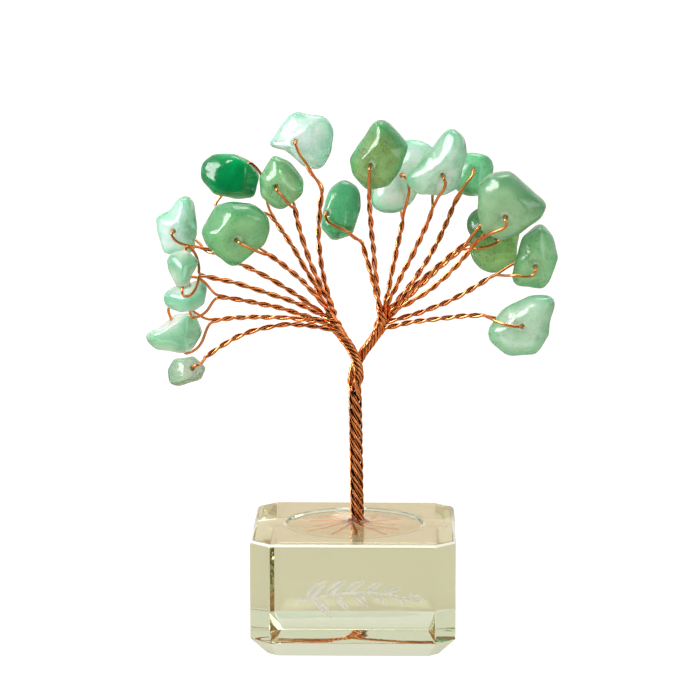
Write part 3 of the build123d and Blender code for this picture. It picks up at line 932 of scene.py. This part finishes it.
# Studio: a plain white sweep of floor, one soft light up on the left, a fill on the right and one from above.
# The floor shows white and keeps a soft shadow under the block.
FLOOR_W = 12.0
GAP = 0.02 * MM
deselect()
bpy.ops.mesh.primitive_plane_add(size=FLOOR_W, location=(0, 0, -GAP))
floor = bpy.context.object
floor.name = "floor"
paper = bpy.data.materials.new("white_paper_floor")
paper.use_nodes = True
tree = paper.node_tree
tree.nodes.remove(tree.nodes["Principled BSDF"])
path = add(tree, "ShaderNodeLightPath", {})
seen = path.outputs["Is Camera Ray"]
through_glass = path.outputs["Is Transmission Ray"]
mirror = path.outputs["Is Glossy Ray"]
shown = add(tree, "ShaderNodeMath", {0: seen, 1: through_glass}, operation="MAXIMUM")
tone = add(tree, "ShaderNodeMix", {0: seen, 6: linear("#C6BDA3"), 7: linear("#FFFFFF")}, data_type="RGBA")
mirrored = add(tree, "ShaderNodeMix", {0: mirror, 6: linear("#D8CFC2"), 7: linear("#B2A492")},
               data_type="RGBA")
plain = add(tree, "ShaderNodeBsdfDiffuse", {"Color": mirrored.outputs[2]})
faint = add(tree, "ShaderNodeBsdfDiffuse", {"Color": linear("#818181")})
glow = add(tree, "ShaderNodeEmission", {"Color": tone.outputs[2], "Strength": 0.93})
lit = add(tree, "ShaderNodeAddShader", {0: faint.outputs[0], 1: glow.outputs[0]})
mixed = add(tree, "ShaderNodeMixShader", {0: shown.outputs[0], 1: plain.outputs[0], 2: lit.outputs[0]})
tree.links.new(mixed.outputs[0], tree.nodes["Material Output"].inputs["Surface"])
floor.data.materials.append(paper)

# The room: white behind, soft all round, dark in front where the viewer stands.
# A warm band low behind is what the top of the block mirrors.
world = bpy.data.worlds.new("white_room")
bpy.context.scene.world = world
world.use_nodes = True
tree = world.node_tree
path = add(tree, "ShaderNodeLightPath", {})
seen = path.outputs["Is Camera Ray"]
through_glass = path.outputs["Is Transmission Ray"]
mirror = path.outputs["Is Glossy Ray"]
shown = add(tree, "ShaderNodeMath", {0: seen, 1: through_glass}, operation="MAXIMUM")
where = add(tree, "ShaderNodeTexCoord", {})
front = add(tree, "ShaderNodeVectorMath", {0: where.outputs["Generated"], 1: (0.2, -0.97, 0.1)},
            operation="DOT_PRODUCT")
facing = front.outputs["Value"]
around = add(tree, "ShaderNodeMapRange", {"Value": facing, 1: -0.05, 2: 0.6, 3: 1.3, 4: 0.02},
             interpolation_type="SMOOTHSTEP")
behind = add(tree, "ShaderNodeMapRange", {"Value": facing, 1: -0.9, 2: -0.5, 3: 0.75, 4: 1.0})
surround = add(tree, "ShaderNodeMath", {0: around.outputs[0], 1: behind.outputs[0]}, operation="MULTIPLY")
soft = add(tree, "ShaderNodeMapRange", {"Value": mirror, 3: 0.62, 4: surround.outputs[0]})
level = add(tree, "ShaderNodeMapRange", {"Value": shown.outputs[0], 3: soft.outputs[0], 4: 1.0})
height = add(tree, "ShaderNodeSeparateXYZ", {"Vector": where.outputs["Generated"]})
in_band = add(tree, "ShaderNodeMath", {0: height.outputs["Z"], 1: 0.21, 2: 0.08}, operation="COMPARE")
is_back = add(tree, "ShaderNodeMath", {0: facing, 1: -0.6}, operation="LESS_THAN")
banded = add(tree, "ShaderNodeMath", {0: in_band.outputs[0], 1: is_back.outputs[0]}, operation="MULTIPLY")
warm = add(tree, "ShaderNodeMath", {0: banded.outputs[0], 1: mirror}, operation="MULTIPLY")
tan = tuple(1.12 * part for part in linear("#FFE1C4"))
wall = add(tree, "ShaderNodeMix", {0: warm.outputs[0], 6: linear("#FFFFFF"), 7: tan}, data_type="RGBA")
sky = tree.nodes["Background"]
tree.links.new(wall.outputs[2], sky.inputs["Color"])
tree.links.new(level.outputs[0], sky.inputs["Strength"])

# Each lamp has its direction from the tree, distance and width in metres, and watts.
# The key lamp itself isn't seen through the glass.
AIM = Vector((0.0, 0.0, 55.0)) * MM
LAMPS = (
    ("key", (-0.68, -0.45, 0.60), 0.55, 0.30, 3.4),
    ("fill", (0.80, -0.50, 0.25), 0.60, 0.30, 0.7),
    ("top", (0.10, 0.35, 0.95), 0.60, 0.30, 1.2),
)
for name, direction, far, size, watts in LAMPS:
    lamp = bpy.data.lights.new(name, "AREA")
    lamp.size = size
    lamp.energy = watts
    stand = bpy.data.objects.new(name, lamp)
    stand.visible_transmission = name != "key"
    stand.location = AIM + Vector(direction).normalized() * far
    stand.rotation_euler = (AIM - stand.location).to_track_quat("-Z", "Y").to_euler()
    bpy.context.scene.collection.objects.link(stand)

# The camera has a long lens, a little above level
camera = bpy.data.cameras.new("camera")
camera.lens = 172.8
camera.sensor_width = 36.0
camera.clip_start = 0.01
eye = bpy.data.objects.new("camera", camera)
eye.location = VIEWPOINT * MM
eye.rotation_euler = (VIEWED * MM - eye.location).to_track_quat("-Z", "Y").to_euler()
bpy.context.scene.collection.objects.link(eye)
bpy.context.scene.camera = eye
bpy.context.scene.view_settings.view_transform = "Standard"

# Light turns back and forth inside the block many times before it leaves
bpy.context.scene.cycles.max_bounces = 64
bpy.context.scene.cycles.transmission_bounces = 64
bpy.context.scene.cycles.glossy_bounces = 32
